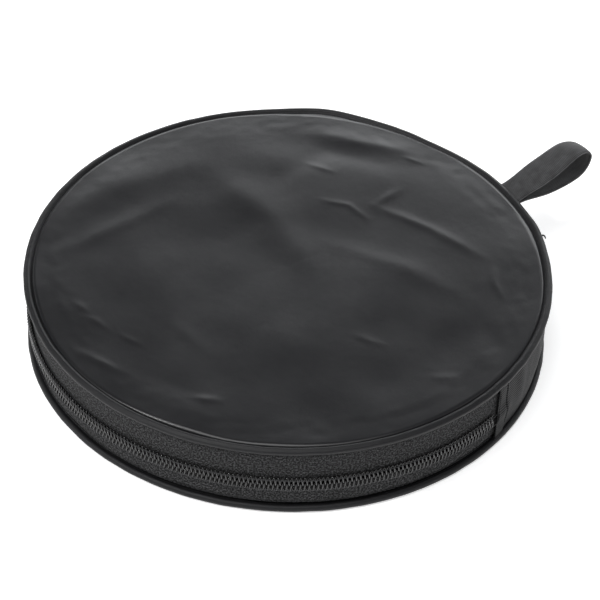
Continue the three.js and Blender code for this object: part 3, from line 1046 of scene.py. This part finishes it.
def thread_tail(thread):
    """The end of a sewing thread sticking out at the piping's join at the back."""
    angle = 75.4
    base = on_case(angle, RIM - 0.4, CASE_HEIGHT - 3.2)
    out = outwards(angle)
    side = Vector((-out.y, out.x, 0))
    bend = [(0, 0, 0), (0.6, 0.1, 0.5), (1.2, 0.35, 0.9), (1.7, 0.8, 0.8), (2.0, 1.3, 0.3), (2.1, 1.7, -0.3)]
    path = [base + out * a + side * -b + Vector((0, 0, c)) for a, b, c in bend]
    tail = tube(path, [0.45, 0.42, 0.4, 0.38, 0.34, 0.25], 8, Vector((0, 0, 1)))
    obj = fitted("thread_tail", tail, thread)
    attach(obj, "case")


# ---------------------------------------------------------------- the folded reflector

HOOP_TURNS = 3
HOOP_RADIUS = 99.2
SWAY_RADIAL = 4.6


def hoop_point(share, outward=0, up=0):
    """A place beside the hoop's middle line. share runs from 0 to 1 over its three turns."""
    sway = 2 * math.pi * share
    radius = HOOP_RADIUS + SWAY_RADIAL * math.cos(sway) + outward
    angle = -HOOP_TURNS * sway
    return Vector((radius * math.cos(angle), radius * math.sin(angle),
                   REFLECTOR_MIDDLE + SWAY_AXIAL * math.sin(sway) + up))


def hoop_binding(tape):
    """The fabric sleeve round the steel, with its two lips turned in to hold the faces."""
    half_depth, wall, mouth, lip = 2.2, 0.55, 0.8, 0.4
    outer, inner = [], []
    sides = 16
    for i in range(sides + 1):
        a = math.radians(-158 + 316 * i / sides)
        c, s = math.cos(a), math.sin(a)
        corner = 0.75
        u = math.copysign(abs(c) ** corner, c)
        v = math.copysign(abs(s) ** corner, s)
        outer.append((half_depth * u, SLEEVE_HALF_HEIGHT * v))
        inner.append(((half_depth - wall) * u, (SLEEVE_HALF_HEIGHT - wall) * v))
    reach = -half_depth - 1.2
    outline = [(reach, -mouth)] + outer + [(reach, mouth), (reach, mouth - lip)]
    outline += inner[::-1] + [(reach, lip - mouth)]
    steps = 420
    rows = []
    for i in range(steps + 1):
        share = 0.0006 + (1 - 0.0012) * i / steps
        pucker = 1 + 0.05 * math.sin(i * 1.9) + 0.05 * noise.noise(Vector((i / 3, 0, 2)))
        rows.append([hoop_point(share, u * pucker, v * pucker) for u, v in outline])
    obj = fitted("hoop_sleeve", skin(rows), tape)
    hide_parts("hoop_binding")
    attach(obj, "reflector")


def face(name, node, side, material, slot_name):
    """One face, gathered inside the turns: a pleated round outside, the rest folded under it in layers."""
    base = REFLECTOR_MIDDLE + side * 0.35
    layers = 9
    spacing = 0.4
    radius = 87.0
    squareness = 0.93
    per_layer = 26
    across = 18
    rows = []
    for k in range(layers * per_layer + 1):
        layer = k // per_layer
        share = k / per_layer - layer
        y = radius * math.cos(math.pi * share) * (1 if layer % 2 == 0 else -1)
        half = radius * math.sqrt(1 - (squareness * y / radius) ** 2)
        z = (layer + smooth_step(share, 0.93, 1)) * spacing
        rows.append([((2 * j / across - 1) * half, y, base + side * z) for j in range(across + 1)])
    layered = skin(rows, wrap_points=False)

    rings, spokes = 44, 264
    pleated_radius = 93.2
    highest = 5.3
    top = layers * spacing + 0.55
    rows = []
    for i in range(rings + 1):
        share = i / rings
        row = []
        for k in range(spokes):
            angle = 360 * k / spokes
            reach = pleated_radius * share
            swirl = angle + 26 * (1 - share) ** 1.5
            pleats = math.sin(math.radians(swirl * 23)) + 0.6 * math.sin(math.radians(swirl * 41 + 70))
            place = outwards(swirl) * (3 + 60 * share) / 14
            crumple = noise.noise(place + Vector((0, 0, 3))) + 0.5 * noise.noise(place * 2.3)
            pleat = 0.34 * pleats * smooth_step(share, 0.12, 0.7)
            wrinkle = 0.7 * crumple * smooth_step(share, 0, 0.25)
            z = min(top + pleat + wrinkle - 0.6 * smooth_step(share, 0.93, 1), highest)
            row.append(outwards(angle) * max(reach, 0.4) + Vector((0, 0, base + side * z)))
        rows.append(row)
    points, faces, _ = skin(rows, caps=False)
    faces.append(tuple(range(spokes)))
    pleated = (points, faces, [(p.x, p.y) for p in points])
    obj = fitted(name, joined([layered, pleated]), material)
    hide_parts(node)
    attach(obj, "reflector")


# ---------------------------------------------------------------- CAD pieces that stay


def softened(node, width):
    """Rounds a CAD node's edges without touching its mesh."""
    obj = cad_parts[node]
    flat = obj.modifiers.new("flat faces", "DECIMATE")
    flat.decimate_type = "DISSOLVE"
    flat.angle_limit = math.radians(3)
    bevel = obj.modifiers.new("worn edges", "BEVEL")
    bevel.width = width * MM
    bevel.segments = 3
    bevel.limit_method = "ANGLE"
    bevel.angle_limit = math.radians(30)


def dress(node, material):
    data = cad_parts[node].data
    data.materials.clear()
    data.materials.append(material)


def metal_parts():
    slider = painted_metal("slider_paint", (0.018, 0.018, 0.019), (0.06, 0.06, 0.063), 0.32, 0.7)
    for node, width in (("slider_body", 0.35), ("slider_crown", 0.45), ("pull_tab", 0.4)):
        dress(node, slider)
        softened(node, width)
    dress("hoop_steel_band", spring_steel())
    dress("hoop_ferrule", painted_metal("ferrule_zinc", (0.35, 0.36, 0.37), (0.6, 0.6, 0.6), 0.35, 1.0))
    dress("bottom_piping_cord", cord_plastic())


# ---------------------------------------------------------------- the whole scene

camera()
lights()
floor(floor_material())

nylon = coated_nylon()
tape = tape_cloth()
binding = tape_cloth("binding_cloth", (0.008, 0.008, 0.009), (0.03, 0.03, 0.032))
thread = thread_material()

top_panel(nylon)
bottom_panel(nylon)
seams(piping_cloth(), binding, cord_plastic())
zipper_tapes(tape)
back_band(band_cloth(), thread)
zipper(coil_plastic(), thread)
webbing_loop(webbing_cloth())
thread_tail(thread)
hoop_binding(binding)
face("silver_face", "reflector_face_silver", 1, silver_cloth(), "reflector_silver")
face("white_face", "reflector_face_white", -1, white_cloth(), "reflector_white")
metal_parts()

bpy.context.scene.view_settings.view_transform = "Standard"
